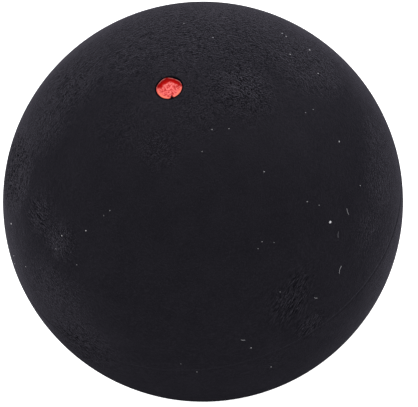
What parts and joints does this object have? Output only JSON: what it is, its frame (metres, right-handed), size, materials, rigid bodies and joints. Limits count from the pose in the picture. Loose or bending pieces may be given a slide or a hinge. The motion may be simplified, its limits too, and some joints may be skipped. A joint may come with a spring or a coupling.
{
  "type": "squash ball",
  "caption": "Hollow matt black rubber squash ball of two cemented half shells, with a red dot painted in a small dish.",
  "frame": {"origin": "centre of the ball", "axes": "+Z out through the middle of the painted dot, the joint between the halves in the XY plane"},
  "size_m": [0.04, 0.04, 0.04],
  "materials": {
    "buffed_rubber": "buffed matt",
    "rubber_cement": "dull, cured",
    "dot_paint": "satin paint"
  },
  "bodies": {
    "root": {"dotted_half": "buffed_rubber", "plain_half": "buffed_rubber", "seam_cement": "rubber_cement", "dot_paint": "dot_paint"}
  },
  "joints": []
}
